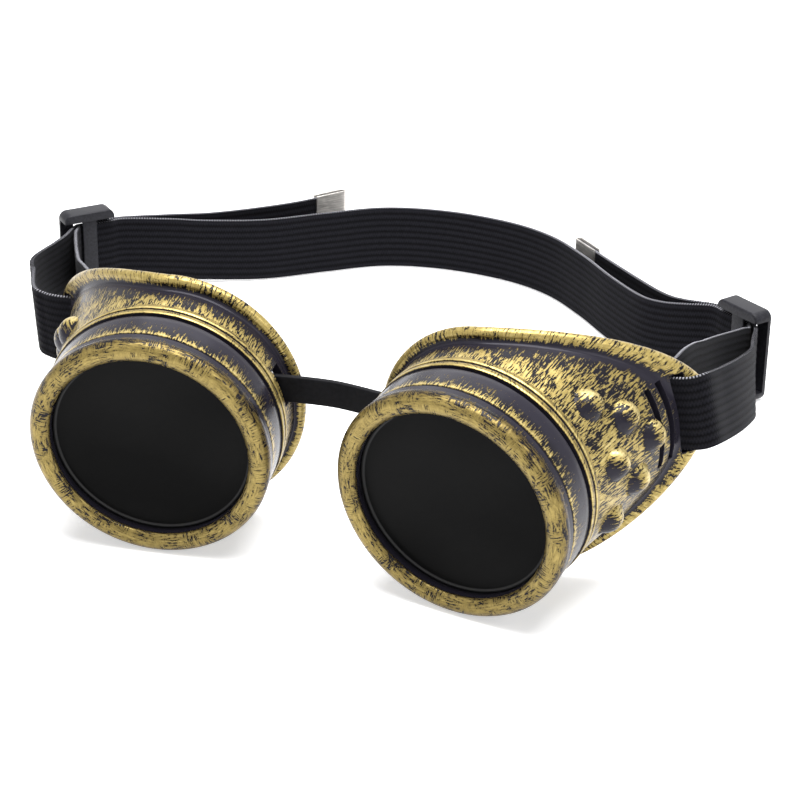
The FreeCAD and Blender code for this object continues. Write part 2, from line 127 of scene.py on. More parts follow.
# How finely the shapes are divided, the steps along strips in millimetres
CUP_COLUMNS = 400
RING_COLUMNS = 256
WALL_ROWS = 90
CORNER_ROWS = 7
FLANGE_ROWS = 8
RIM_ROWS = 15
BACK_ROWS = 6
INSIDE_ROWS = 16
CROWN_ROWS = 30
ROOT_TRIES = 40
CURVE_STEPS = 24
RIB_POINTS = 6
CORNER_POINTS = 6
ELASTIC_STEP = 0.4
BRIDGE_STEP = 0.5
CLIP_STEP = 0.25

# Distance in metres that counts as none, and angles in degrees above which an edge stays sharp
NEAR = 1e-7
CUP_CREASE = 40
RING_CREASE = 35
LENS_CREASE = 50
STRIP_CREASE = 50
BUCKLE_CREASE = 35

# Nose bridge
BRIDGE_HEIGHT = 7.4
BRIDGE_THICK = 1.4
BRIDGE_RISE = 7.6
BRIDGE_BOW = 1.0
BRIDGE_ROUND = 0.4
BRIDGE_INSIDE = 1.0
HEAD_R = 19.6
HEAD_HEIGHT = 9.0
HEAD_THICK = 2.0
HEAD_DEPTH = 5.0
HEAD_ROUND = 0.5

# Elastic
STRAP_WIDTH = 20.0
STRAP_THICK = 1.2
STRAP_RIBS = 10
RIB_RELIEF = 0.1
RIB_POWER = 0.7
STITCH = 0.8
EDGE_TOOTH = 0.12
EDGE_TAPER = 40
EDGE_LEAST = 0.35
EDGE_BAND = 0.34
EDGE_FADE = 0.3
LAYER_OFFSET = 0.75

# Buckles: place of the middle plate, heading of the strap through it, and sizes
SLIDER_AT = {"left": (-127.6, 139.4), "right": (73.5, 147.5)}
SLIDER_HEADING = {"left": 229.0, "right": -33.0}
SLIDER_LENGTH = 16.0
SLIDER_HEIGHT = 27.4
SLIDER_RAIL = 2.7
SLIDER_BAR = 4.2
SLIDER_MIDDLE = 4.6
SLIDER_DEEP = 3.05
SLIDER_REACH = 1.65
SLIDER_TRAVEL = 5.0
SLIDER_CORNER = 2.4
SLIDER_ROUND = 0.6
SLIDER_CORNER_STEPS = 8
SLIDER_ROUND_STEPS = 4
SLIDER_GAP = 0.3
PLATE_ROUND = 0.3
PLATE_STEPS = 3
CUT_CLEAR = 1.0
TURN_FRONT = 2.9
STRAP_Z = 13.0
BUCKLE_SHARES = (0.0, 0.25, 0.6, 0.92)

# Routes of the elastic, as in the part's source: x, y and how far the lower edge is lifted
BACK_ROUTE = (
    (-106.4, 155.6, 2.0), (-98.5, 161.0, 0.8), (-82.5, 170.2, 0.1), (-67.4, 182.6, 0.1),
    (-51.8, 194.2, 0.1), (-33.1, 199.0, 0.1), (-12.8, 198.0, 0.1), (3.0, 192.2, 0.1),
    (16.7, 181.2, 0.1), (29.0, 168.8, 0.1), (40.5, 158.8, 0.2), (47.6, 155.7, 0.6), (54.5, 154.5, 1.6))
TAIL_ROUTE = {
    "left": ((-107.4, 158.8, 2.2), (-99.6, 166.0, 1.2), (-90.4, 174.6, 0.8), (-80.8, 183.8, 0.8)),
    "right": ((54.5, 157.0, 1.9), (49.0, 159.6, 1.2), (43.0, 164.0, 0.9), (35.0, 170.8, 0.8),
              (27.3, 177.4, 0.8))}
TAIL_END = {"left": (-74.4, 191.4, 0.8), "right": (20.3, 183.6, 0.8)}
TAIL_END_HEADING = {"left": 54.0, "right": 139.0}

# Routes of the loops: share of the way from rear slot to buckle, how far aside, share of the rise to the slot
INNER_ROUTE = {
    "left": ((0.94, 3.0, 0.02), (0.88, 2.8, 0.06), (0.78, 2.2, 0.16), (0.66, 1.4, 0.31),
             (0.54, 0.5, 0.48), (0.40, -0.7, 0.67), (0.27, -2.7, 0.86), (0.15, -5.0, 1.0)),
    "right": ((0.94, 2.7, 0.02), (0.88, 2.0, 0.10), (0.79, 0.7, 0.20), (0.68, -0.6, 0.33),
              (0.56, -1.3, 0.48), (0.43, -1.4, 0.65), (0.30, -1.4, 0.83), (0.17, -1.4, 0.98))}
OUTER_ROUTE = {
    "left": ((0.25, 10.6, 0.86), (0.36, 11.9, 0.69), (0.48, 12.7, 0.52), (0.60, 12.6, 0.35),
             (0.72, 11.2, 0.19), (0.82, 8.6, 0.09), (0.90, 5.9, 0.04), (0.96, 4.2, 0.02)),
    "right": ((0.10, 8.6, 0.97), (0.19, 10.1, 0.89), (0.29, 10.9, 0.79), (0.40, 10.9, 0.66),
              (0.50, 10.2, 0.53), (0.62, 8.7, 0.37), (0.74, 7.0, 0.21), (0.85, 5.6, 0.09), (0.93, 4.7, 0.03))}

# The loop's passage, inside to outside, as (outward, back) from the middle of the rear slot
SLOT_PASS_IN = ((-4.2, 9.6), (-4.5, 5.6), (-4.6, 2.4), (-3.8, 0.3), (-2.0, -0.3), (0.0, -0.2))
SLOT_PASS_OUT = {
    "left": ((3.0, -0.1), (6.8, 0.8), (10.8, 3.8)),
    "right": ((2.2, 0.0), (4.6, 1.0), (6.6, 3.4))}

# Strap-end clips
CRIMP_LENGTH = 11.0
CRIMP_METAL = 0.5
CRIMP_HALF_HEIGHT = 10.6
CRIMP_HOLLOW = 0.66
CRIMP_ROUND = 0.2
CRIMP_BEND = 1.0
CRIMP_NOSE = 0.3
CRIMP_NOSE_SHARE = 0.8
CRIMP_SHARES = (0.0, 0.25, 0.75, 1.0)

# Gold paint: wear is how much of it shows, from the value kept for the bare insides to 1, and lay how far its
# marks turn round the axis. Lay also darkens the gold as painted shade, and wear below zero darkens the
# plastic as painted shade in hollows.
# Wear of the insides, which also darkens them to satin black as painted shade.
BARE_SHADED = -0.5
WALL_WEAR = 0.56
WALL_FADE = 0.42
WALL_FADE_POWER = 1.6
TEMPLE_SPARED = 0.65
FOOT_FROM = 0.9
FOOT_SPAN = 0.1
# At the wall's foot the gold thins out and, on the nose side, the plastic darkens: painted shade along the
# root.
FOOT_FADE = 0.35
STUD_WEAR = 0.12
STUD_WEAR_RISE = 0.56
STUD_SLANT = 0.3
STUD_SHIFT = 0.8
# Below zero, so the corner's plastic darkens a little: painted shade.
CORNER_WEAR = -0.15
CORNER_WEAR_RISE = 0.7
FLANGE_WEAR = 0.48
FLANGE_WEAR_RISE = 0.22
FLANGE_LAY = 0.3
RIM_WEAR = 0.68
RIM_LAY = 0.25
BACK_WEAR = 0.6
BACK_LAY = 0.4
RIB_GROOVE_WEAR = -0.1
RIB_LAY = 0.5
BEZEL_WEAR = 0.71
# Gold falls off from the crest of the bezel towards both edges, partly as wear and partly as painted shade
# across the crown.
BEZEL_FADE = 0.08
BEZEL_LAY = 0.55
# Below zero, so the groove's plastic darkens towards satin black: painted shade.
GROOVE_WEAR = -0.3
BAND_EDGE_LAY = 0.2
SIGHT_LAY = 0.5

# A rib, front to back: how far in from its crest, depth from its front, wear
RIB_SECTION = (
    (0.35, 0.0, 0.2), (0.1, 0.08, 0.75), (0.0, 0.3, 0.95), (0.0, 0.85, 0.66),
    (0.0, RIB_WIDTH - 0.3, 0.72), (0.1, RIB_WIDTH - 0.08, 0.7), (0.3, RIB_WIDTH, 0.2))

# The ring's dark step, by depth behind the crown, and its band, by depth: wear at each
STEP_FADE = ((0.4, 0.18), (0.9, 0.1))
BAND_FADE = ((5.7, 0.58), (6.6, 0.44), (7.8, 0.30), (9.2, 0.15), (11.0, 0.05))

# Layers of the paint's marks: scale along the stroke coordinates, detail, roughness
PATCHES = ((0.17, 0.17, 0.2), 2.0, 0.5)
BLOTS = ((0.14, 0.14, 0.3), 2.0, 0.5)
FLECKS = ((4.6, 4.6, 3.0), 2.0, 0.5)
BACK_MARKS = ((2.6, 2.6, 0.44), 2.5, 0.55)
ROUND_MARKS = ((0.45, 0.45, 2.3), 3.0, 0.6)

# How far each layer moves the paint's level, and the levels between which a change comes in
MARK_SWING = 2.1
FLECK_SWING = 0.7
PATCH_SWING = 0.9
BLOT_SWING = 1.6
RUBBED_SWING = 0.4
RICH_SHARE = 0.3
# How far lay darkens the gold: painted shade.
LAY_SHADE = -0.5
TURNED_BETWEEN = (1.2, 1.35)
GOLD_BETWEEN = (0.47, 0.53)
RUBBED_BETWEEN = (0.3, 0.7)
# Wear below which the plastic darkens to satin black: painted shade in hollows.
HOLLOW_SHADE_BETWEEN = (-0.4, -0.1)
RICH_BETWEEN = (0.25, 0.6)
LIGHT_BETWEEN = (0.6, 0.95)
PAINT_METAL = 0.5
PAINT_ROUGH = (0.25, 0.31)
FLECK_RELIEF = 0.2

# Colours, linear
PLASTIC_DARK = (0.004, 0.0035, 0.005, 1)
PLASTIC_GREY = (0.017, 0.0155, 0.023, 1)
PLASTIC_SHINE = (0.92, 0.90, 1.0, 1)
# Gold from dark to pale: the dark end stands for thin paint and painted shade, the pale end is a painted
# highlight.
GOLD_SHADE = (0.085, 0.058, 0.015, 1)
GOLD = (0.40, 0.305, 0.10, 1)
GOLD_LIGHT = (0.92, 0.79, 0.42, 1)
ELASTIC_DARK = (0.003, 0.003, 0.004, 1)
ELASTIC_LIGHT = (0.014, 0.014, 0.018, 1)
# Paler grey along the strap's edges: painted highlight.
ELASTIC_EDGE_HIGHLIGHT = (0.30, 0.30, 0.33, 1)
SATIN_BLACK = (0.005, 0.005, 0.006, 1)
BUCKLE_BLACK = (0.013, 0.013, 0.016, 1)
LENS_DARK = (0.006, 0.006, 0.006, 1)
# Paler black for a painted reflection on the lens face.
LENS_REFLECTION = (0.012, 0.012, 0.012, 1)
# Paler grey for a painted highlight on the lens bevel.
LENS_BEVEL_HIGHLIGHT = (0.05, 0.05, 0.05, 1)
NICKEL = (0.72, 0.69, 0.65, 1)
WHITE = (1, 1, 1, 1)
FLOOR = (0.82, 0.82, 0.83, 1)

# Floor: half its width, drop under the part, and glow near and far, in metres and strength
FLOOR_REACH = 6.0
FLOOR_DROP = 0.0002
FLOOR_GLOW_FROM = 0.4
FLOOR_GLOW_TO = 1.2
FLOOR_GLOW = (0.55, 1.0)

# Light: strength of the surroundings for soft light and as seen, then each lamp's place, size and watts
SURROUND_SOFT = 0.17
SURROUND_SEEN = 1.0
LAMP_AIM = (0.0, 0.06, 0.02)
LAMPS = {
    "top": ((0.05, 0.05, 0.90), 0.8, 19.0),
    "back": ((-0.20, 0.90, 0.70), 0.8, 2.5),
    "key": ((-0.45, -0.45, 0.55), 0.4, 0.7),
    "fill": ((0.75, -0.15, 0.55), 0.4, 1.5)}

# Camera, from the photograph: place, direction and focal length on a 36 mm sensor
CAMERA_AT = (0.19661, -0.46122, 0.29599)
CAMERA_FORWARD = (-0.31157, 0.84244, -0.43957)
CAMERA_UP = (-0.1692, 0.4059, 0.8980)
CAMERA_LENS = 108.0
CAMERA_SENSOR = 36.0
CAMERA_NEAR = 0.01

# Sockets that are found by number
VECTOR = 1
FACTOR = 2
OBJECT_PLACE = 3
MIX_SHARE = 0
MIX_A = 6
MIX_B = 7
MIX_COLOUR = 2


# Placing

def joint(name):
    """The record's joint of that name."""
    return next(j for j in frame["record"]["behaviour"]["joints"] if j["name"] == name)


def sign_of(side):
    return 1 if side == "right" else -1


def cup_matrix(side, raised=True):
    """Places a cup's own axes, in metres: across to the right, back from the lens, up."""
    sign = sign_of(side)
    lift = TEMPLE_RAISE[side] if raised else 0.0
    centre = Vector(joint("ring_" + side + "_turn")["pos_m"])
    turn = Matrix.Rotation(math.radians(NOSE_DOWN), 4, "X")
    turn = turn @ Matrix.Rotation(math.radians(-sign * TOE_IN), 4, "Z")
    return Matrix.Translation(centre) @ turn @ Matrix.Rotation(math.radians(-sign * lift), 4, "Y")


def cup_point(side, outward, depth, up=0.0, raised=True):
    """A point in the row frame, in millimetres, from a place in a cup."""
    local = Vector((sign_of(side) * outward, depth, up)) * MM
    return np.array(cup_matrix(side, raised) @ local) / MM


def heading(degrees):
    return np.array((math.cos(math.radians(degrees)), math.sin(math.radians(degrees)), 0.0))


# Meshes

def new_object(name, data):
    made = bpy.data.objects.new(name, data)
    bpy.context.scene.collection.objects.link(made)
    return made


def shade_smooth(mesh):
    mesh.polygons.foreach_set("use_smooth", [True] * len(mesh.polygons))


def grid_object(name, rows, stroke, values, close_rows):
    """Mesh from rows of points that each run round; stroke and values are kept for the materials."""
    count, around = rows.shape[:2]
    last = count if close_rows else count - 1
    i, j = np.meshgrid(np.arange(last), np.arange(around), indexing="ij")
    i_next, j_next = (i + 1) % count, (j + 1) % around
    faces = np.stack([i * around + j, i * around + j_next, i_next * around + j_next, i_next * around + j], -1)
    mesh = bpy.data.meshes.new(name)
    mesh.from_pydata((rows.reshape(-1, 3) * MM).tolist(), [], faces.reshape(-1, 4).tolist())
    mesh.attributes.new("stroke", "FLOAT_VECTOR", "POINT").data.foreach_set("vector", stroke.reshape(-1))
    for key, value in values.items():
        mesh.attributes.new(key, "FLOAT", "POINT").data.foreach_set("value", value.reshape(-1))
    shade_smooth(mesh)
    return new_object(name, mesh)


def rework(piece, change):
    """Makes a change to a piece's mesh."""
    work = bmesh.new()
    work.from_mesh(piece.data)
    change(work)
    work.to_mesh(piece.data)
    work.free()


def face_outwards(work):
    """Turns all faces of a closed mesh outwards."""
    bmesh.ops.recalc_face_normals(work, faces=work.faces)


def weld(work):
    """Joins points that coincide and turns all faces outwards."""
    bmesh.ops.remove_doubles(work, verts=work.verts, dist=NEAR)
    face_outwards(work)


def crease(piece, degrees):
    piece.data.set_sharp_from_angle(angle=math.radians(degrees))


def seat(piece, side, body):
    """Mirrors a cup's piece for the left eye and puts it on its body."""
    if side == "left":
        piece.data.transform(Matrix.Scale(-1, 4, (1, 0, 0)))
    rework(piece, face_outwards)
    piece.data.transform(cup_matrix(side))
    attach(piece, body)


def box_object(name, boxes):
    """Plain boxes in one mesh, from low and high corners in millimetres, for cutting."""
    work = bmesh.new()
    for low, high in boxes:
        centre = (Vector(low) + Vector(high)) * (MM / 2)
        size = (Vector(high) - Vector(low)) * MM
        place = Matrix.Translation(centre) @ Matrix.Diagonal((*size, 1))
        bmesh.ops.create_cube(work, size=1, matrix=place)
    mesh = bpy.data.meshes.new(name)
    work.to_mesh(mesh)
    work.free()
    return new_object(name, mesh)


def cut_away(piece, boxes):
    """Cuts boxes out of a piece and keeps the result as its mesh."""
    cutter = box_object("cutter", boxes)
    modifier = piece.modifiers.new("slots", "BOOLEAN")
    modifier.object = cutter
    modifier.operation = "DIFFERENCE"
    modifier.solver = "EXACT"
    graph = bpy.context.evaluated_depsgraph_get()
    piece.data = bpy.data.meshes.new_from_object(piece.evaluated_get(graph))
    piece.modifiers.clear()
    bpy.data.objects.remove(cutter)


def round_edges(piece, radius, steps, chosen):
    """Rounds the edges that chosen picks by their two ends."""
    def bevel(work):
        edges = [edge for edge in work.edges if chosen(edge.verts[0].co, edge.verts[1].co)]
        bmesh.ops.bevel(work, geom=edges, offset=radius * MM, segments=steps, profile=0.5, affect="EDGES")

    rework(piece, bevel)


# Cups

def wall_radius(angle, depth):
    """Outer radius of the flared wall: round on the nose side, drawn out towards the temple."""
    side_r = WALL_R + SIDE_SLOPE * (depth - WALL_FRONT)
    temple_r = WALL_R + TEMPLE_SLOPE * (depth - WALL_FRONT)
    drawn = 1 / np.hypot(np.cos(angle) / temple_r, np.sin(angle) / side_r)
    return np.where(np.cos(angle) > 0, drawn, side_r)


def flange_radius(angle):
    """Outline of the flange: half an ellipse on the nose side, drawn out to a blunt point at the temple."""
    nose = 1 / np.hypot(np.cos(angle) / FLANGE_NOSE_R, np.sin(angle) / FLANGE_HALF_HEIGHT)
    across = np.abs(np.cos(angle)) / FLANGE_TEMPLE_R
    up = np.abs(np.sin(angle)) / FLANGE_HALF_HEIGHT
    temple = (across ** FLANGE_POWER + up ** FLANGE_POWER) ** (-1 / FLANGE_POWER)
    return np.where(np.cos(angle) > 0, temple, nose)


def sweep(radius, angle, ends):
    """Depth of a flange face at a radius: level on the nose side, then curving back to the temple."""
    outward = np.maximum(radius * np.cos(angle), 0) / FLANGE_TEMPLE_R
    return ends[0] + (ends[1] - ends[0]) * outward ** SWEEP_POWER


def flange_root(angle):
    """Depth at which the wall meets the flange's front face."""
    depth = np.full_like(angle, LIP_FRONT[0])
    for _ in range(ROOT_TRIES):
        depth = sweep(wall_radius(angle, depth), angle, LIP_FRONT)
    return depth


def stud_relief(angle, depth):
    """Height of the studs above the wall, and how far back from a stud's front foot a place lies, 0 to 1."""
    height = np.zeros_like(depth)
    set_back = np.zeros_like(depth)
    for row_depth, row_angles in STUD_ROWS:
        for row_angle in row_angles:
            turn = (angle - math.radians(row_angle) + math.pi) % (2 * math.pi) - math.pi
            along = (depth - row_depth) / STUD_R
            round_wall = turn * wall_radius(angle, depth) / STUD_R
            share = np.clip(along ** 2 + round_wall ** 2, 0, 1)
            height = np.maximum(height, STUD_HEIGHT * (1 - share) ** STUD_POWER)
            behind = np.clip(along + STUD_SLANT * round_wall + STUD_SHIFT, 0, 1)
            set_back += np.where(share < 1, behind, 0)
    return height, set_back


def cup_rows():
    """Rows of (radius, depth, wear, lay) round the whole section of a cup, front of the wall first."""
    angle = np.linspace(0, 2 * math.pi, CUP_COLUMNS, endpoint=False)
    root = flange_root(angle)
    root_r = wall_radius(angle, root)
    rim_r = flange_radius(angle)
    fillet = np.minimum(ROOT_FILLET, FILLET_SHARE * (rim_r - root_r))
    temple = np.clip(np.cos(angle), 0, 1)
    rows = []

    def add(radius, depth, wear, lay=0.0):
        rows.append((radius + 0 * angle, depth + 0 * angle, wear + 0 * angle, lay + 0 * angle))

    # Wall with its studs
    for share in np.linspace(0, 1, WALL_ROWS):
        depth = WALL_FRONT + share * (root - fillet - WALL_FRONT)
        height, set_back = stud_relief(angle, depth)
        faded = WALL_FADE * share ** WALL_FADE_POWER * (1 - TEMPLE_SPARED * temple)
        plain = WALL_WEAR - faded - FOOT_FADE * np.clip(share - FOOT_FROM, 0, 1) / FOOT_SPAN
        wear = np.where(height > 0, STUD_WEAR + STUD_WEAR_RISE * set_back, plain)
        add(wall_radius(angle, depth) + height, depth, wear)
    # Concave corner between wall and flange
    corner_front, corner_out = root - fillet, root_r + fillet
    for share in np.linspace(0, 1, CORNER_ROWS)[1:]:
        radius = wall_radius(angle, corner_front) * (1 - share) ** 2 + 2 * share * (1 - share) * root_r
        radius = radius + share ** 2 * corner_out
        depth = corner_front * (1 - share) ** 2 + 2 * share * (1 - share) * root
        depth = depth + share ** 2 * sweep(corner_out, angle, LIP_FRONT)
        add(radius, depth, CORNER_WEAR_RISE * share ** 2 + CORNER_WEAR)
    # Front of the flange, its round rim and its back
    bead = rim_r - LIP_ROUND
    for share in np.linspace(0, 1, FLANGE_ROWS)[1:]:
        radius = corner_out + share * (bead - corner_out)
        add(radius, sweep(radius, angle, LIP_FRONT), FLANGE_WEAR + FLANGE_WEAR_RISE * share, FLANGE_LAY)
    front, back = sweep(bead, angle, LIP_FRONT), sweep(bead, angle, LIP_BACK)
    for swing in np.linspace(-90, 90, RIM_ROWS)[1:-1]:
        lean = math.radians(swing)
        depth = (front + back) / 2 + (back - front) / 2 * math.sin(lean)
        add(bead + LIP_ROUND * math.cos(lean), depth, RIM_WEAR, RIM_LAY)
    inner_r = wall_radius(angle, back) - WALL
    for share in np.linspace(0, 1, BACK_ROWS):
        radius = bead + share * (inner_r + BACK_CHAMFER - bead)
        add(radius, sweep(radius, angle, LIP_BACK), BACK_WEAR - BACK_WEAR * share, BACK_LAY)
    # Inside of the wall, the shelf and the neck
    inside = sweep(inner_r, angle, LIP_BACK) - BACK_CHAMFER
    for share in np.linspace(0, 1, INSIDE_ROWS):
        depth = inside + share * (SHELF_DEPTH - inside)
        add(wall_radius(angle, depth) - WALL, depth, BARE_SHADED)
    for radius, depth in (
            (NECK_BORE_R + NECK_CHAMFER, SHELF_DEPTH), (NECK_BORE_R, SHELF_DEPTH - NECK_CHAMFER),
            (NECK_BORE_R, NECK_FRONT + NECK_CHAMFER), (NECK_BORE_R + NECK_CHAMFER, NECK_FRONT),
            (NECK_R - NECK_CHAMFER, NECK_FRONT), (NECK_R, NECK_FRONT + NECK_CHAMFER),
            (NECK_R, COLLAR_FRONT - COLLAR_CHAMFER), (NECK_R + COLLAR_CHAMFER, COLLAR_FRONT)):
        add(radius, depth, BARE_SHADED)
    # Two ribs with a groove between them
    rib_2 = COLLAR_FRONT + RIB_WIDTH + RIB_GROOVE
    for start in (COLLAR_FRONT, rib_2):
        for inset, depth, wear in RIB_SECTION:
            add(RIB_R - inset, start + depth, wear, RIB_LAY)
        if start == COLLAR_FRONT:
            add(RIB_R - RIB_GROOVE, start + RIB_WIDTH + RIB_GROOVE / 2, RIB_GROOVE_WEAR)
    return angle, rows


def stroke_coordinates(angle, radius, depth):
    """Coordinates for brush marks: round the axis in two, along the section in the third, in millimetres."""
    step = np.hypot(np.diff(radius, axis=0), np.diff(depth, axis=0))
    length = np.concatenate([np.zeros((1, len(angle))), np.cumsum(step, axis=0)])
    around = np.broadcast_to(angle, radius.shape)
    return np.stack([BEZEL_R * np.cos(around), BEZEL_R * np.sin(around), length], -1)


def turned_object(name, angle, rows):
    """Closed mesh round the lens axis from rows of (radius, depth, wear, lay)."""
    radius, depth, wear, lay = (np.array([row[k] for row in rows]) for k in range(4))
    points = np.stack([radius * np.cos(angle), depth, radius * np.sin(angle)], -1)
    stroke = stroke_coordinates(angle, radius, depth)
    return grid_object(name, points, stroke, {"wear": wear, "lay": lay}, True)


def eye_cup(side, material):
    angle, rows = cup_rows()
    cup = turned_object("moulded_cup_" + side, angle, rows)
    slots = [((WALL_R - WALL - CUT_CLEAR, depth - width / 2, -SLOT_HALF_LENGTH),
              (FLANGE_TEMPLE_R, depth + width / 2, SLOT_HALF_LENGTH)) for depth, width in SLOTS]
    slot_low, slot_high = BRIDGE_SLOT_UP[side]
    slots.append(((-FLANGE_NOSE_R, BRIDGE_DEPTH - BRIDGE_SLOT_HALF_WIDTH, slot_low),
                  (-HEAD_R, BRIDGE_DEPTH + BRIDGE_SLOT_HALF_WIDTH, slot_high)))
    cut_away(cup, slots)
    seat(cup, side, "cup_" + side)
    crease(cup, CUP_CREASE)
    cup.data.materials.append(material)
    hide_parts("eye_cup_" + side)


# Rings and lenses

def arc(start, via, end, count):
    """Points of the circle through three (radius, depth) points, start to end."""
    (ax, ay), (bx, by), (cx, cy) = start, via, end
    d = 2 * (ax * (by - cy) + bx * (cy - ay) + cx * (ay - by))
    ux = ((ax**2 + ay**2) * (by - cy) + (bx**2 + by**2) * (cy - ay) + (cx**2 + cy**2) * (ay - by)) / d
    uy = ((ax**2 + ay**2) * (cx - bx) + (bx**2 + by**2) * (ax - cx) + (cx**2 + cy**2) * (bx - ax)) / d
    first, last = math.atan2(ay - uy, ax - ux), math.atan2(cy - uy, cx - ux)
    middle = math.atan2(by - uy, bx - ux)
    if not min(first, last) < middle < max(first, last):
        last += 2 * math.pi if last < first else -2 * math.pi
    size = math.hypot(ax - ux, ay - uy)
    return [(ux + size * math.cos(t), uy + size * math.sin(t)) for t in np.linspace(first, last, count)]


def lens_ring(side, material):
    """Crowned bezel worn to gold, a dark step, the groove, and a band that is gold only at its front edge."""
    angle = np.linspace(0, 2 * math.pi, RING_COLUMNS, endpoint=False)
    crown = arc((SIGHT_R, 0.0), (BEZEL_CREST_R, -BEZEL_CROWN), (BEZEL_R, BEZEL_SIDE), CROWN_ROWS)
    half = GROOVE_WIDTH / 2
    # Gold thins away from the crest: partly wear, partly painted shade across the crown.
    profile = [(r, w, BEZEL_WEAR - BEZEL_FADE * (w + BEZEL_CROWN), BEZEL_LAY) for r, w in crown]
    # Dark step and groove
    profile += [(BEZEL_R, BEZEL_SIDE + behind, wear, 0) for behind, wear in STEP_FADE]
    profile += [
        (BEZEL_R, GROOVE_AT - half - RING_CHAMFER, 0.05, 0),
        (BEZEL_R - RING_CHAMFER, GROOVE_AT - half, 0.0, 0),
        (BAND_R - GROOVE_DEPTH, GROOVE_AT - GROOVE_FLOOR, GROOVE_WEAR, 0),
        (BAND_R - GROOVE_DEPTH, GROOVE_AT + GROOVE_FLOOR, GROOVE_WEAR, 0)]
    # Band
    profile += [
        (BAND_R - RING_CHAMFER, GROOVE_AT + half, 0.5, BAND_EDGE_LAY),
        (BAND_R, GROOVE_AT + half + 0.12, 0.72, BAND_EDGE_LAY)]
    profile += [(BAND_R, depth, wear, 0) for depth, wear in BAND_FADE]
    profile += [(BAND_R, RING_DEPTH - 0.4, 0.0, 0), (BAND_R - 0.12, RING_DEPTH - 0.12, 0.0, 0)]
    # Back, inside and sight edge
    profile += [(radius, depth, BARE_SHADED, 0) for radius, depth in (
        (BAND_R - 0.4, RING_DEPTH), (THREAD_R, RING_DEPTH), (THREAD_R, POCKET_BACK), (POCKET_R, POCKET_BACK),
        (POCKET_R, LIP_DEPTH), (SIGHT_R + RING_CHAMFER, LIP_DEPTH), (SIGHT_R, LIP_DEPTH - RING_CHAMFER))]
    profile += [(SIGHT_R, 0.7, 0.0, 0), (SIGHT_R, 0.3, 0.5, SIGHT_LAY)]
    rows = [tuple(value + 0 * angle for value in row) for row in profile]
    ring = turned_object("screw_ring_" + side, angle, rows)
    seat(ring, side, "ring_" + side)
    crease(ring, RING_CREASE)
    ring.data.materials.append(material)
    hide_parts("lens_ring_" + side)


def lens(side, material):
    """Dark disc with a thin raised rim whose bevel catches the light just inside the ring and is also painted
    paler as a highlight.
    """
    angle = np.linspace(0, 2 * math.pi, RING_COLUMNS, endpoint=False)
    face, rim = LENS_FRONT - LENS_DISH, LENS_FRONT - LENS_STEP
    # Third value marks the bevel, which the material paints paler as a highlight.
    profile = [
        (LENS_CENTRE_R, face, 0), (LENS_STEP_R * 0.5, face, 0), (LENS_STEP_R, face, 0),
        (LENS_STEP_R + 0.15, face - 0.02, 0.6), (LENS_STEP_R + 0.4, rim + 0.08, 1),
        (LENS_STEP_R + 0.5, rim, 0.4), (SIGHT_R - 0.1, rim, 0),
        (SIGHT_R - 0.05, rim + 0.05, 0), (SIGHT_R - 0.05, LENS_FRONT + 0.05, 0),
        (LENS_R - 0.1, LENS_FRONT, 0), (LENS_R, LENS_FRONT + 0.1, 0), (LENS_R, LENS_BACK - 0.1, 0),
        (LENS_R - 0.1, LENS_BACK, 0), (LENS_CENTRE_R, LENS_BACK, 0)]
    rows = [(r + 0 * angle, w + 0 * angle, wear + 0 * angle, 0 * angle) for r, w, wear in profile]
    disc = turned_object("dark_lens_" + side, angle, rows)
    seat(disc, side, "lens_" + side)
    crease(disc, LENS_CREASE)
    disc.data.materials.append(material)
    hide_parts("lens_" + side)


# Strips: elastic, bridge and clips

def smooth(points, spacing):
    """Even points on a smooth curve through the given ones."""
    points = np.array(points, float)
    ends = np.vstack([2 * points[0] - points[1], points, 2 * points[-1] - points[-2]])
    fine = []
    for a, b, c, d in zip(ends, ends[1:], ends[2:], ends[3:]):
        t = np.linspace(0, 1, CURVE_STEPS, endpoint=False)[:, None]
        square, cube = (2 * a - 5 * b + 4 * c - d) * t**2, (3 * b - a - 3 * c + d) * t**3
        fine.append(0.5 * (2 * b + (c - a) * t + square + cube))
    fine = np.vstack(fine + [points[-1:]])
    reach = np.concatenate([[0], np.cumsum(np.linalg.norm(np.diff(fine[:, :3], axis=0), axis=1))])
    places = np.linspace(0, reach[-1], max(int(reach[-1] / spacing), 2) + 1)
    return np.stack([np.interp(places, reach, fine[:, k]) for k in range(fine.shape[1])], -1), places


def strip_object(name, points, ups, section, spacing):
    """Strip along a smooth curve. section gives (across the strip, through it, wear) round its edge."""
    path, reach = smooth(np.hstack([np.array(points, float), np.array(ups, float)]), spacing)
    place, stand = path[:, :3], path[:, 3:]
    stand = stand / np.linalg.norm(stand, axis=1, keepdims=True)
    through = np.cross(np.gradient(place, axis=0), stand)
    through /= np.linalg.norm(through, axis=1, keepdims=True)
    across, thick, wear = section(reach)
    rows = place[:, None] + stand[:, None] * across[..., None] + through[:, None] * thick[..., None]
    stroke = np.stack([np.broadcast_to(reach[:, None], across.shape), across, thick], -1)
    ends = [np.repeat(rows[k].mean(axis=0)[None, None], rows.shape[1], axis=1) for k in (0, -1)]
    rows = np.concatenate([ends[0], rows, ends[1]])
    stroke = np.concatenate([stroke[:1], stroke, stroke[-1:]])
    wear = np.concatenate([wear[:1], wear, wear[-1:]])
    strip = grid_object(name, rows, stroke, {"wear": wear}, False)
    rework(strip, weld)
    crease(strip, STRIP_CREASE)
    return strip


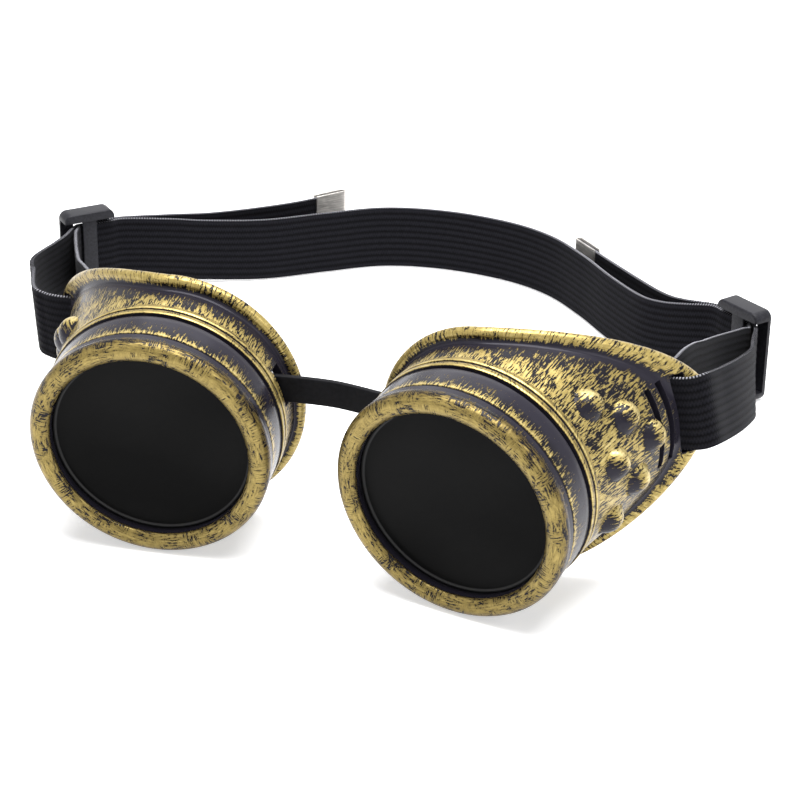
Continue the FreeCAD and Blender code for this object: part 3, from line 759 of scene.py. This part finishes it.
def elastic_section(reach):
    """Ribbed web with a stitched, toothed edge on each side."""
    half, thick = STRAP_WIDTH / 2, STRAP_THICK / 2
    shares = np.linspace(-1, 1, RIB_POINTS * STRAP_RIBS + 1)
    level = thick - 2 * RIB_RELIEF * np.abs(np.sin(math.pi * STRAP_RIBS * (shares + 1) / 2)) ** RIB_POWER
    taper = np.clip((1 - np.abs(shares)) * EDGE_TAPER, EDGE_LEAST, 1)
    level = np.minimum(thick, level + RIB_RELIEF) * taper
    across = np.concatenate([shares, shares[::-1]]) * half
    through = np.concatenate([level, -level[::-1]])
    edge = np.clip((np.abs(across) - half + EDGE_BAND) / EDGE_FADE, 0, 1)
    tooth = EDGE_TOOTH * (np.sin(2 * math.pi * reach / STITCH)[:, None] - 1)
    across = across + np.sign(across) * edge * tooth
    through = np.broadcast_to(through, across.shape)
    return across, through, np.broadcast_to(edge, across.shape)


def rounded_section(width, thick, radius):
    """Section of a plain strip with rounded edges."""
    def section(reach):
        turns = np.radians(np.linspace(0, 90, CORNER_POINTS))
        corners = []
        for side_a, side_b, start in ((1, 1, 0), (-1, 1, 90), (-1, -1, 180), (1, -1, 270)):
            lean = turns + math.radians(start)
            corners.append(np.stack([side_a * (width / 2 - radius) + radius * np.cos(lean),
                                     side_b * (thick / 2 - radius) + radius * np.sin(lean)], -1))
        outline = np.vstack(corners)
        shape = (len(reach), len(outline))
        return (np.broadcast_to(outline[:, 0], shape), np.broadcast_to(outline[:, 1], shape), np.zeros(shape))
    return section


def on_route(places):
    return [(x, y, lift + STRAP_WIDTH / 2) for x, y, lift in places]


def on_loop(side, places):
    """Points of a loop between the cup's rear slot and the buckle."""
    slot = cup_point(side, *REAR_SLOT)
    way = np.array((*SLIDER_AT[side], STRAP_Z)) - slot
    away = np.array((way[1], -way[0], 0.0)) * sign_of(side) / math.hypot(way[0], way[1])
    start = np.array((slot[0], slot[1], STRAP_Z))
    return [start + way * (share, share, -rise) + away * aside for share, aside, rise in places]


def slider_axes(side):
    """Direction of the strap forward through a buckle, and the direction away from the head."""
    forward = heading(SLIDER_HEADING[side])
    outward = np.cross((0, 0, 1), forward) * sign_of(side)
    return forward, outward


def layer_stretch(side, layer):
    """Front and back of the straight stretch of one layer at a buckle."""
    forward, outward = slider_axes(side)
    middle = np.array((*SLIDER_AT[side], STRAP_Z)) + outward * (layer * LAYER_OFFSET)
    return middle + forward * TURN_FRONT, middle - forward * (SLIDER_LENGTH / 2 + SLIDER_TRAVEL + SLIDER_GAP)


def straight(start, end, shares):
    return [start + (end - start) * share for share in shares]


def in_buckle(side, layer):
    """The straight stretch of one layer, front to back, as far as the elastic may start to bend."""
    return straight(*layer_stretch(side, layer), BUCKLE_SHARES)


def finish_piece(piece, material, node):
    piece.data.materials.append(material)
    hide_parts(node)


def upright_elastic(name, route, node, material):
    strip = strip_object(name, route, [(0, 0, 1)] * len(route), elastic_section, ELASTIC_STEP)
    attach(strip, "strap")
    finish_piece(strip, material, node)


def strap_back(material):
    left, right = in_buckle("left", -1), in_buckle("right", -1)
    upright_elastic("elastic_back", left + on_route(BACK_ROUTE) + right[::-1], "strap_back", material)


def tail_end(side):
    return np.array(on_route([TAIL_END[side]])[0])


def strap_tail(side, material):
    end = tail_end(side)
    clip = heading(TAIL_END_HEADING[side]) * (CRIMP_LENGTH - CRIMP_METAL)
    in_clip = straight(end, end + clip, CRIMP_SHARES)
    route = in_buckle(side, 1) + on_route(TAIL_ROUTE[side]) + in_clip
    upright_elastic("elastic_tail_" + side, route, "strap_tail_" + side, material)


def strap_loop(side, material):
    """The elastic from the buckle through the cup's rear slot and back."""
    inner = [layer_stretch(side, -1)[0]] + on_loop(side, INNER_ROUTE[side])
    passage = [cup_point(side, REAR_SLOT[0] + outward, REAR_SLOT[1] + back)
               for outward, back in SLOT_PASS_IN + SLOT_PASS_OUT[side]]
    outer = on_loop(side, OUTER_ROUTE[side]) + [layer_stretch(side, 1)[0]]
    upright = np.array((0.0, 0.0, 1.0))
    cup_up = cup_point(side, 0, 0, 1) - cup_point(side, 0, 0, 0)

    def lean(count):
        return [upright + (cup_up - upright) * (i / count) for i in range(count)]

    ups = lean(len(inner)) + [cup_up] * len(passage) + lean(len(outer))[::-1]
    loop = strip_object("elastic_loop_" + side, inner + passage + outer, ups, elastic_section, ELASTIC_STEP)
    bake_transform(loop)
    finish_piece(loop, material, "strap_loop_" + side)


def nose_bridge(material):
    """Flexible strip through both cups' bridge slots, with a head inside each cup."""
    slot_r = math.sqrt(WALL_R ** 2 - BRIDGE_RISE ** 2)
    reaches = (HEAD_R, slot_r - WALL - BRIDGE_INSIDE, slot_r, slot_r + WALL)
    tilt = math.radians(NOSE_DOWN)
    up = np.array((0.0, -math.sin(tilt), math.cos(tilt)))
    back = np.array((0.0, math.cos(tilt), math.sin(tilt)))

    def end_points(side):
        return [cup_point(side, -r, BRIDGE_DEPTH, BRIDGE_RISE, raised=False) for r in reaches]

    left, right = end_points("left"), end_points("right")
    middle = (left[-1] + right[-1]) / 2 + back * BRIDGE_BOW
    points = left + [middle] + right[::-1]
    strip = strip_object("bridge_strip", points, [up] * len(points),
                         rounded_section(BRIDGE_HEIGHT, BRIDGE_THICK, BRIDGE_ROUND), BRIDGE_STEP)
    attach(strip, "strap")
    finish_piece(strip, material, "nose_bridge")
    for side in SIDES:
        centre = cup_point(side, -HEAD_R, BRIDGE_DEPTH, BRIDGE_RISE, raised=False)
        ends = [centre - up * HEAD_HEIGHT / 2, centre, centre + up * HEAD_HEIGHT / 2]
        across = cup_point(side, 1, 0, 0, raised=False) - cup_point(side, 0, 0, 0, raised=False)
        head = strip_object("bridge_head_" + side, ends, [across] * 3,
                            rounded_section(HEAD_THICK, HEAD_DEPTH, HEAD_ROUND), BRIDGE_STEP)
        head.data.materials.append(material)
        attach(head, "strap")


def crimp(side, material):
    """Folded metal clip: one bent strip of sheet round the end of the elastic."""
    forward = heading(TAIL_END_HEADING[side])
    sideways = np.cross((0, 0, 1), forward)
    centre = tail_end(side)
    half = CRIMP_HOLLOW + CRIMP_METAL / 2
    tip = CRIMP_LENGTH - CRIMP_METAL / 2
    bend = [(0.0, half), (tip / 2, half), (tip - CRIMP_BEND, half),
            (tip - CRIMP_NOSE, half * CRIMP_NOSE_SHARE), (tip, 0.0)]
    bend += [(along, -aside) for along, aside in bend[-2::-1]]
    points = [centre + forward * along + sideways * aside for along, aside in bend]
    clip = strip_object("folded_clip_" + side, points, [(0, 0, 1)] * len(points),
                        rounded_section(2 * CRIMP_HALF_HEIGHT, CRIMP_METAL, CRIMP_ROUND), CLIP_STEP)
    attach(clip, "strap")
    finish_piece(clip, material, "crimp_" + side)


# Buckles

def slider(side, material):
    """Three-bar buckle: a rounded frame, its end bars outside the elastic and its middle plate inside."""
    half = SLIDER_LENGTH / 2
    outer = sign_of(side)
    low, high = SLIDER_RAIL, SLIDER_HEIGHT - SLIDER_RAIL
    bar_in = half - SLIDER_BAR

    def block(along, inner, outward, bottom, top):
        ys = sorted((outer * inner, outer * outward))
        return (-along, ys[0], bottom), (along, ys[1], top)

    buckle = box_object("buckle_" + side, [block(half, -SLIDER_DEEP, SLIDER_DEEP, 0, SLIDER_HEIGHT)])
    round_edges(buckle, SLIDER_CORNER, SLIDER_CORNER_STEPS, lambda a, b: abs(a.y - b.y) > SLIDER_DEEP * MM)
    round_edges(buckle, SLIDER_ROUND, SLIDER_ROUND_STEPS,
                lambda a, b: abs(a.y - b.y) < NEAR and abs(a.y) > SLIDER_REACH * MM)
    past = SLIDER_DEEP + CUT_CLEAR
    cut_away(buckle, [block(half + CUT_CLEAR, -past, SLIDER_REACH, low, high)])
    cut_away(buckle, [block(bar_in, -past, past, low, high)])
    plate = box_object("plate", [block(SLIDER_MIDDLE / 2, SLIDER_ROUND - SLIDER_DEEP, -SLIDER_REACH,
                                       low / 2, SLIDER_HEIGHT - low / 2)])
    round_edges(plate, PLATE_ROUND, PLATE_STEPS, lambda a, b: True)
    rework(buckle, lambda work: work.from_mesh(plate.data))
    bpy.data.objects.remove(plate)
    shade_smooth(buckle.data)
    crease(buckle, BUCKLE_CREASE)
    place = Matrix.Translation(Vector((*SLIDER_AT[side], 0)) * MM)
    buckle.data.transform(place @ Matrix.Rotation(math.radians(SLIDER_HEADING[side]), 4, "Z"))
    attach(buckle, "slider_" + side)
    finish_piece(buckle, material, "slider_" + side)


# Materials

def scaled(colour, factor):
    return tuple(c * factor for c in colour[:3]) + (1,)


class Shader:
    """A material whose nodes are added one by one; inputs are values or other nodes' outputs."""

    def __init__(self, name):
        self.material = bpy.data.materials.new(name)
        self.material.use_nodes = True
        self.tree = self.material.node_tree
        self.surface = self.tree.nodes["Principled BSDF"]

    def put(self, node, inputs):
        for key, value in inputs.items():
            if isinstance(value, bpy.types.NodeSocket):
                self.tree.links.new(value, node.inputs[key])
            else:
                node.inputs[key].default_value = value

    def node(self, kind, inputs, output=0, **settings):
        made = self.tree.nodes.new(kind)
        for key, value in settings.items():
            setattr(made, key, value)
        self.put(made, inputs)
        return made.outputs[output]

    def attribute(self, name, output):
        return self.node("ShaderNodeAttribute", {}, output, attribute_name=name)

    def math(self, operation, a, b=0.0, c=0.0):
        return self.node("ShaderNodeMath", {0: a, 1: b, 2: c}, operation=operation)

    def noise(self, vector, scale, detail, rough):
        """Noise stretched by a different scale along each coordinate."""
        stretched = self.node("ShaderNodeVectorMath", {0: vector, 1: scale}, operation="MULTIPLY")
        inputs = {"Vector": stretched, "Scale": 1.0, "Detail": detail, "Roughness": rough}
        return self.node("ShaderNodeTexNoise", inputs)

    def span(self, value, low, high, to_low=0.0, to_high=1.0):
        return self.node("ShaderNodeMapRange", {0: value, 1: low, 2: high, 3: to_low, 4: to_high})

    def mix(self, share, a, b):
        inputs = {MIX_SHARE: share, MIX_A: a, MIX_B: b}
        return self.node("ShaderNodeMix", inputs, MIX_COLOUR, data_type="RGBA")

    def swing(self, noise, amount, level):
        """The level moved up or down by a noise about its middle."""
        return self.math("MULTIPLY_ADD", self.math("SUBTRACT", noise, 0.5), amount, level)

    def bump(self, height, distance, strength):
        return self.node("ShaderNodeBump", {"Height": height, "Distance": distance, "Strength": strength})


def dry_brushed(name):
    """Dark plastic with gold paint dragged over it: wear says how much gold, and high wear brings a painted
    highlight while wear below zero darkens hollows as painted shade; lay says which way it runs, and darkens
    the gold as painted shade.
    """
    s = Shader(name)
    stroke = s.attribute("stroke", VECTOR)
    wear = s.attribute("wear", FACTOR)
    lay = s.attribute("lay", FACTOR)
    patches = s.noise(stroke, *PATCHES)
    blots = s.noise(stroke, *BLOTS)
    flecks = s.noise(stroke, *FLECKS)
    back_marks = s.noise(stroke, *BACK_MARKS)
    round_marks = s.noise(stroke, *ROUND_MARKS)
    turned = s.span(s.math("MULTIPLY_ADD", blots, BLOT_SWING, lay), *TURNED_BETWEEN)
    marks = s.math("MULTIPLY_ADD", turned, s.math("SUBTRACT", round_marks, back_marks), back_marks)
    level = s.swing(marks, MARK_SWING, wear)
    level = s.swing(flecks, FLECK_SWING, level)
    level = s.swing(patches, PATCH_SWING, level)
    gold = s.span(level, *GOLD_BETWEEN)
    rubbed = s.span(s.math("MULTIPLY_ADD", patches, RUBBED_SWING, wear), *RUBBED_BETWEEN)
    plastic = s.mix(rubbed, PLASTIC_GREY, PLASTIC_DARK)
    # Where wear is below zero the plastic is darkened towards satin black: painted shade in the insides, the
    # ring's groove and the corner at the wall's foot.
    plastic = s.mix(s.span(wear, *HOLLOW_SHADE_BETWEEN), SATIN_BLACK, plastic)
    # Gold tone: thin paint goes dark and the thickest gold, on crests and studs, goes pale as a painted
    # highlight; lay takes it down as painted shade, most on the bezel.
    rich = s.math("MULTIPLY_ADD", s.math("SUBTRACT", level, wear), RICH_SHARE, wear)
    rich = s.math("MULTIPLY_ADD", lay, LAY_SHADE, rich)
    tone = s.mix(s.span(rich, *RICH_BETWEEN), GOLD_SHADE, GOLD)
    tone = s.mix(s.span(rich, *LIGHT_BETWEEN), tone, GOLD_LIGHT)
    relief = s.math("MULTIPLY_ADD", flecks, FLECK_RELIEF, gold)
    s.put(s.surface, {
        "Base Color": s.mix(gold, plastic, tone),
        "Metallic": s.math("MULTIPLY", gold, PAINT_METAL),
        "Roughness": s.span(gold, 0, 1, *PAINT_ROUGH),
        "Specular IOR Level": 0.18,
        "Specular Tint": PLASTIC_SHINE,
        "Normal": s.bump(relief, distance=0.06 * MM, strength=0.6)})
    return s.material


def dark_glass():
    """Nearly black lens with a faint wide cloud of paler black as a painted reflection, and a bevel painted
    paler as a highlight.
    """
    s = Shader("dark_lens")
    place = s.node("ShaderNodeTexCoord", {}, OBJECT_PLACE)
    # A wide cloud that turns the face to a paler black: painted reflection.
    cloud = s.noise(place, (22.0, 22.0, 30.0), detail=1.0, rough=0.4)
    face = s.mix(s.span(cloud, 0.35, 0.65), LENS_DARK, LENS_REFLECTION)
    s.put(s.surface, {
        # The bevel's mask mixes in a paler grey: painted highlight.
        "Base Color": s.mix(s.attribute("wear", FACTOR), face, LENS_BEVEL_HIGHLIGHT),
        "Roughness": s.span(cloud, 0.3, 0.7, 0.20, 0.26),
        "Specular IOR Level": 0.02})
    return s.material


def satin(name, colour, grain, roughness, shine):
    """Moulded black with a fine grain."""
    s = Shader(name)
    place = s.node("ShaderNodeTexCoord", {}, OBJECT_PLACE)
    speckle = s.noise(place, (grain, grain, grain), detail=3.0, rough=0.6)
    lighter = scaled(colour, 1.9)
    s.put(s.surface, {
        "Base Color": s.mix(s.span(speckle, 0.35, 0.7), colour, lighter),
        "Roughness": s.span(speckle, 0.3, 0.7, roughness - 0.06, roughness + 0.08),
        "Specular IOR Level": shine,
        "Normal": s.bump(speckle, distance=0.02 * MM, strength=0.35)})
    return s.material


def elastic():
    """Ribbed woven elastic: dark knit, small stitches in each rib, and a painted highlight in dashes along
    the edges.
    """
    s = Shader("elastic")
    along = s.node("ShaderNodeSeparateXYZ", {0: s.attribute("stroke", VECTOR)})
    across = along.node.outputs["Y"]
    edge = s.attribute("wear", FACTOR)
    rib = s.math("MULTIPLY", across, math.pi * STRAP_RIBS / STRAP_WIDTH)
    valley = s.math("ABSOLUTE", s.math("SINE", rib))
    column = s.math("FLOOR", s.math("MULTIPLY", across, 2 * STRAP_RIBS / STRAP_WIDTH))
    shifted = s.math("MULTIPLY_ADD", column, STITCH / 2, along)
    stitch = s.math("SINE", s.math("MULTIPLY", shifted, 2 * math.pi / STITCH))
    lint = s.noise(s.attribute("stroke", VECTOR), (1.2, 1.2, 1.2), detail=4.0, rough=0.65)
    knit = s.math("MULTIPLY_ADD", stitch, 0.22, valley)
    tone = s.math("MULTIPLY_ADD", lint, 0.5, s.math("MULTIPLY", knit, 0.6))
    web = s.mix(s.span(tone, 0.35, 1.0), ELASTIC_DARK, ELASTIC_LIGHT)
    # Dashes of paler grey along both edges: painted highlight on the edge threads.
    dash = s.math("SINE", s.math("MULTIPLY", along, 2 * math.pi / STITCH))
    edge_highlight = s.math("MULTIPLY", edge, s.span(dash, -0.3, 0.7))
    s.put(s.surface, {
        "Base Color": s.mix(edge_highlight, web, ELASTIC_EDGE_HIGHLIGHT),
        "Roughness": 0.85,
        "Specular IOR Level": 0.06,
        "Sheen Weight": 0.02,
        "Sheen Roughness": 0.5,
        "Normal": s.bump(knit, distance=0.12 * MM, strength=0.8)})
    return s.material


def nickel():
    """Plated sheet with faint rolling marks."""
    s = Shader("nickel")
    place = s.node("ShaderNodeTexCoord", {}, OBJECT_PLACE)
    marks = s.noise(place, (300.0, 300.0, 4000.0), detail=3.0, rough=0.6)
    darker = scaled(NICKEL, 0.6)
    s.put(s.surface, {
        "Base Color": s.mix(s.span(marks, 0.35, 0.65), darker, NICKEL),
        "Metallic": 0.85,
        "Roughness": s.span(marks, 0.3, 0.7, 0.3, 0.42),
        "Normal": s.bump(marks, distance=0.01 * MM, strength=0.4)})
    return s.material


# Stage

def floor_material():
    """Pale floor that the camera sees as white where it is lit, and that keeps soft shadows."""
    s = Shader("pale_floor")
    rays = s.tree.nodes.new("ShaderNodeLightPath")
    place = s.node("ShaderNodeTexCoord", {}, OBJECT_PLACE)
    grain = s.noise(place, (40.0, 40.0, 40.0), detail=2.0, rough=0.5)
    far = s.node("ShaderNodeVectorMath", {0: place}, 1, operation="LENGTH")
    pale = scaled(FLOOR, 0.98)
    seen = s.math("MAXIMUM", rays.outputs["Is Camera Ray"], rays.outputs["Is Glossy Ray"])
    glow = s.math("MULTIPLY", seen, s.span(far, FLOOR_GLOW_FROM, FLOOR_GLOW_TO, *FLOOR_GLOW))
    s.put(s.surface, {
        "Base Color": s.mix(grain, pale, FLOOR),
        "Roughness": 0.9,
        "Specular IOR Level": 0.1,
        "Emission Color": WHITE,
        "Emission Strength": glow})
    return s.material


def build_stage():
    mesh = bpy.data.meshes.new("floor")
    corners = [(FLOOR_REACH * x, FLOOR_REACH * y, 0) for x, y in ((-1, -1), (1, -1), (1, 1), (-1, 1))]
    mesh.from_pydata(corners, [], [(0, 1, 2, 3)])
    floor = new_object("floor", mesh)
    floor.location.z = -FLOOR_DROP
    mesh.materials.append(floor_material())


def area_light(name, place, size, power):
    lamp = bpy.data.lights.new(name, "AREA")
    lamp.size = size
    lamp.energy = power
    made = new_object(name, lamp)
    made.location = place
    made.rotation_euler = (Vector(LAMP_AIM) - Vector(place)).to_track_quat("-Z", "Y").to_euler()


def build_light():
    world = bpy.data.worlds.new("studio")
    world.use_nodes = True
    bpy.context.scene.world = world
    tree = world.node_tree
    background = tree.nodes["Background"]
    rays = tree.nodes.new("ShaderNodeLightPath")
    seen = tree.nodes.new("ShaderNodeMath")
    seen.operation = "MAXIMUM"
    tree.links.new(rays.outputs["Is Camera Ray"], seen.inputs[0])
    tree.links.new(rays.outputs["Is Glossy Ray"], seen.inputs[1])
    strength = tree.nodes.new("ShaderNodeMapRange")
    tree.links.new(seen.outputs[0], strength.inputs[0])
    strength.inputs["To Min"].default_value = SURROUND_SOFT
    strength.inputs["To Max"].default_value = SURROUND_SEEN
    tree.links.new(strength.outputs[0], background.inputs["Strength"])
    background.inputs["Color"].default_value = WHITE
    for name, (place, size, power) in LAMPS.items():
        area_light(name, place, size, power)


def build_camera():
    data = bpy.data.cameras.new("camera")
    data.lens = CAMERA_LENS
    data.sensor_width = CAMERA_SENSOR
    data.clip_start = CAMERA_NEAR
    camera = new_object("camera", data)
    forward, up = Vector(CAMERA_FORWARD).normalized(), Vector(CAMERA_UP).normalized()
    right = forward.cross(up).normalized()
    up = right.cross(forward)
    turn = Matrix((right, up, -forward)).transposed().to_4x4()
    camera.matrix_world = Matrix.Translation(CAMERA_AT) @ turn
    bpy.context.scene.camera = camera


def build_goggles():
    cup_paint = dry_brushed("brushed_cup")
    ring_paint = dry_brushed("brushed_ring")
    lens_black = dark_glass()
    rubber = satin("satin_rubber", SATIN_BLACK, grain=900.0, roughness=0.5, shine=0.08)
    web = elastic()
    buckle_black = satin("buckle_plastic", BUCKLE_BLACK, grain=1400.0, roughness=0.36, shine=0.15)
    plated = nickel()
    for side in SIDES:
        eye_cup(side, cup_paint)
        lens_ring(side, ring_paint)
        lens(side, lens_black)
        strap_loop(side, web)
        strap_tail(side, web)
        slider(side, buckle_black)
        crimp(side, plated)
        gasket = frame["nodes"]["lens_gasket_" + side]
        gasket.data.materials.clear()
        gasket.data.materials.append(rubber)
    strap_back(web)
    nose_bridge(rubber)


bpy.context.scene.view_settings.view_transform = "Standard"
build_goggles()
build_stage()
build_light()
build_camera()
